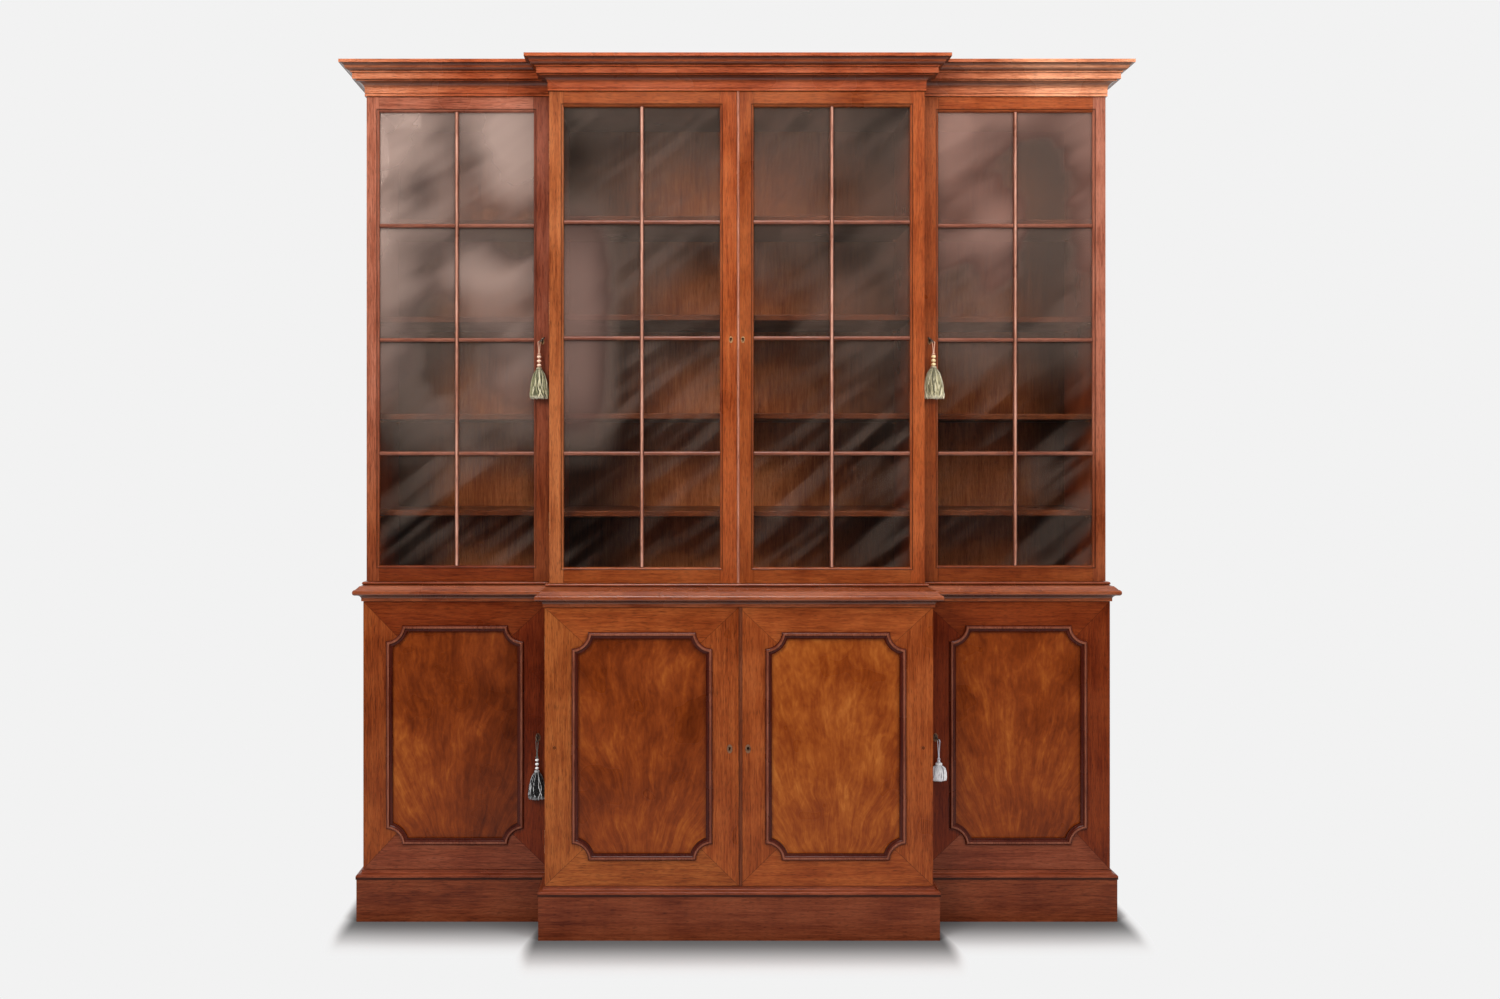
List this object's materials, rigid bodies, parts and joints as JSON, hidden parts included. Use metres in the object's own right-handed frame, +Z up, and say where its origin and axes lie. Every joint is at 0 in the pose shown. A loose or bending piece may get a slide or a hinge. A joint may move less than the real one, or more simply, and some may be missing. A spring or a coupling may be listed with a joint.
{
  "type": "library bookcase",
  "caption": "Breakfront library bookcase: glazed doors over panelled cupboard doors, moulded cornice and plinth.",
  "frame": {"origin": "on the floor, at the middle of the width and of the depth", "axes": "+X to the right as seen from the front, +Y towards the back wall, +Z up"},
  "size_m": [2.25, 0.576, 2.438],
  "materials": {
    "mahogany_door_frame": "french polished",
    "mahogany_carcase": "french polished",
    "mahogany_moulding": "french polished",
    "mahogany_panel_moulding": "french polished",
    "flame_mahogany": "french polished flame veneer",
    "shelf_mahogany": "waxed",
    "back_boards": "stained, matt",
    "window_glass": "clear old crown glass",
    "brass": "aged, lacquer worn",
    "key_steel": "worn steel",
    "key_cord": "twisted cord",
    "green_cream_tassel": "silk thread",
    "black_tassel": "silk thread",
    "white_tassel": "silk thread"
  },
  "bodies": {
    "root": {"plinth_boards": "mahogany_carcase", "plinth_moulding": "mahogany_moulding", "lower_uprights": "mahogany_carcase", "lower_boards": "mahogany_carcase", "back_boards": "back_boards", "ledge": "mahogany_moulding", "surbase_moulding": "mahogany_moulding", "upper_uprights": "mahogany_carcase", "upper_boards": "mahogany_carcase", "shelves": "shelf_mahogany", "cornice": "mahogany_moulding", "carcase_brasses": "brass"},
    "upper_left_wing_door": {"upper_left_wing_frame": "mahogany_door_frame", "upper_left_wing_glazing_bars": "mahogany_door_frame", "upper_left_wing_glass": "window_glass", "upper_left_wing_brasses": "brass"},
    "upper_left_centre_door": {"upper_left_centre_frame": "mahogany_door_frame", "upper_left_centre_glazing_bars": "mahogany_door_frame", "upper_left_centre_glass": "window_glass", "upper_left_centre_brasses": "brass"},
    "upper_left_key": {"upper_left_key": "key_steel"},
    "upper_left_bolt": {"upper_left_bolt": "brass"},
    "upper_left_tassel": {"upper_left_key_cord": "key_cord", "upper_left_tassel": "green_cream_tassel"},
    "upper_right_wing_door": {"upper_right_wing_frame": "mahogany_door_frame", "upper_right_wing_glazing_bars": "mahogany_door_frame", "upper_right_wing_glass": "window_glass", "upper_right_wing_brasses": "brass"},
    "upper_right_centre_door": {"upper_right_centre_frame": "mahogany_door_frame", "upper_right_centre_glazing_bars": "mahogany_door_frame", "upper_right_centre_glass": "window_glass", "upper_right_centre_brasses": "brass"},
    "upper_right_key": {"upper_right_key": "key_steel"},
    "upper_right_bolt": {"upper_right_bolt": "brass"},
    "upper_right_tassel": {"upper_right_key_cord": "key_cord", "upper_right_tassel": "green_cream_tassel"},
    "lower_left_wing_door": {"lower_left_wing_frame": "mahogany_door_frame", "lower_left_wing_panel": "flame_mahogany", "lower_left_wing_moulding": "mahogany_panel_moulding", "lower_left_wing_brasses": "brass"},
    "lower_left_centre_door": {"lower_left_centre_frame": "mahogany_door_frame", "lower_left_centre_panel": "flame_mahogany", "lower_left_centre_moulding": "mahogany_panel_moulding", "lower_left_centre_brasses": "brass"},
    "lower_left_key": {"lower_left_key": "key_steel"},
    "lower_left_bolt": {"lower_left_bolt": "brass"},
    "lower_left_tassel": {"lower_left_key_cord": "key_cord", "lower_left_tassel": "black_tassel"},
    "lower_right_wing_door": {"lower_right_wing_frame": "mahogany_door_frame", "lower_right_wing_panel": "flame_mahogany", "lower_right_wing_moulding": "mahogany_panel_moulding", "lower_right_wing_brasses": "brass"},
    "lower_right_centre_door": {"lower_right_centre_frame": "mahogany_door_frame", "lower_right_centre_panel": "flame_mahogany", "lower_right_centre_moulding": "mahogany_panel_moulding", "lower_right_centre_brasses": "brass"},
    "lower_right_key": {"lower_right_key": "key_steel"},
    "lower_right_bolt": {"lower_right_bolt": "brass"},
    "lower_right_tassel": {"lower_right_key_cord": "key_cord", "lower_right_tassel": "white_tassel"}
  },
  "joints": [
    {"name": "upper_left_wing_hinge", "type": "hinge", "parent": "root", "child": "upper_left_wing_door", "pos_m": [-1.0606, -0.0497, 1.2], "axis": [0, 0, -1], "range_deg": [0, 180]},
    {"name": "upper_left_centre_hinge", "type": "hinge", "parent": "root", "child": "upper_left_centre_door", "pos_m": [-0.5306, -0.1097, 1.2], "axis": [0, 0, -1], "range_deg": [0, 100]},
    {"name": "upper_left_key_turn", "type": "hinge", "parent": "upper_left_wing_door", "child": "upper_left_key", "pos_m": [-0.5555, -0.0895, 1.64806], "axis": [0, 1, 0], "range_deg": [0, 90]},
    {"name": "upper_left_bolt_slide", "type": "slide", "parent": "upper_left_wing_door", "child": "upper_left_bolt", "axis": [1, 0, 0], "range_m": [0, 0.008]},
    {"name": "upper_left_tassel_hang", "type": "hinge", "parent": "upper_left_key", "child": "upper_left_tassel", "pos_m": [-0.5633, -0.0895, 1.64103], "axis": [0, 1, 0], "range_deg": [-90, 0]},
    {"name": "upper_right_wing_hinge", "type": "hinge", "parent": "root", "child": "upper_right_wing_door", "pos_m": [1.0606, -0.0497, 1.2], "axis": [0, 0, 1], "range_deg": [0, 180]},
    {"name": "upper_right_centre_hinge", "type": "hinge", "parent": "root", "child": "upper_right_centre_door", "pos_m": [0.5306, -0.1097, 1.2], "axis": [0, 0, 1], "range_deg": [0, 100]},
    {"name": "upper_right_key_turn", "type": "hinge", "parent": "upper_right_wing_door", "child": "upper_right_key", "pos_m": [0.5555, -0.0895, 1.64806], "axis": [0, -1, 0], "range_deg": [0, 90]},
    {"name": "upper_right_bolt_slide", "type": "slide", "parent": "upper_right_wing_door", "child": "upper_right_bolt", "axis": [-1, 0, 0], "range_m": [0, 0.008]},
    {"name": "upper_right_tassel_hang", "type": "hinge", "parent": "upper_right_key", "child": "upper_right_tassel", "pos_m": [0.5633, -0.0895, 1.64103], "axis": [0, -1, 0], "range_deg": [-90, 0]},
    {"name": "lower_left_wing_hinge", "type": "hinge", "parent": "root", "child": "lower_left_wing_door", "pos_m": [-1.0606, -0.0877, 1.2], "axis": [0, 0, -1], "range_deg": [0, 180]},
    {"name": "lower_left_centre_hinge", "type": "hinge", "parent": "root", "child": "lower_left_centre_door", "pos_m": [-0.5306, -0.2377, 1.2], "axis": [0, 0, -1], "range_deg": [0, 180]},
    {"name": "lower_left_key_turn", "type": "hinge", "parent": "lower_left_wing_door", "child": "lower_left_key", "pos_m": [-0.5645, -0.1295, 0.52005], "axis": [0, 1, 0], "range_deg": [0, 90]},
    {"name": "lower_left_bolt_slide", "type": "slide", "parent": "lower_left_wing_door", "child": "lower_left_bolt", "axis": [1, 0, 0], "range_m": [0, 0.008]},
    {"name": "lower_left_tassel_hang", "type": "hinge", "parent": "lower_left_key", "child": "lower_left_tassel", "pos_m": [-0.56487, -0.1295, 0.50955], "axis": [0, 1, 0], "range_deg": [-90, 0]},
    {"name": "lower_right_wing_hinge", "type": "hinge", "parent": "root", "child": "lower_right_wing_door", "pos_m": [1.0606, -0.0877, 1.2], "axis": [0, 0, 1], "range_deg": [0, 180]},
    {"name": "lower_right_centre_hinge", "type": "hinge", "parent": "root", "child": "lower_right_centre_door", "pos_m": [0.5306, -0.2377, 1.2], "axis": [0, 0, 1], "range_deg": [0, 180]},
    {"name": "lower_right_key_turn", "type": "hinge", "parent": "lower_right_wing_door", "child": "lower_right_key", "pos_m": [0.5645, -0.1295, 0.52005], "axis": [0, -1, 0], "range_deg": [0, 90]},
    {"name": "lower_right_bolt_slide", "type": "slide", "parent": "lower_right_wing_door", "child": "lower_right_bolt", "axis": [-1, 0, 0], "range_m": [0, 0.008]},
    {"name": "lower_right_tassel_hang", "type": "hinge", "parent": "lower_right_key", "child": "lower_right_tassel", "pos_m": [0.57052, -0.1295, 0.51145], "axis": [0, -1, 0], "range_deg": [-90, 0]}
  ],
  "couplings": [
    {"joint": "upper_left_bolt_slide", "follows": "upper_left_key_turn", "m_per_rad": 0.005},
    {"joint": "upper_left_tassel_hang", "follows": "upper_left_key_turn", "ratio": -1},
    {"joint": "upper_right_bolt_slide", "follows": "upper_right_key_turn", "m_per_rad": 0.005},
    {"joint": "upper_right_tassel_hang", "follows": "upper_right_key_turn", "ratio": -1},
    {"joint": "lower_left_bolt_slide", "follows": "lower_left_key_turn", "m_per_rad": 0.005},
    {"joint": "lower_left_tassel_hang", "follows": "lower_left_key_turn", "ratio": -1},
    {"joint": "lower_right_bolt_slide", "follows": "lower_right_key_turn", "m_per_rad": 0.005},
    {"joint": "lower_right_tassel_hang", "follows": "lower_right_key_turn", "ratio": -1}
  ]
}
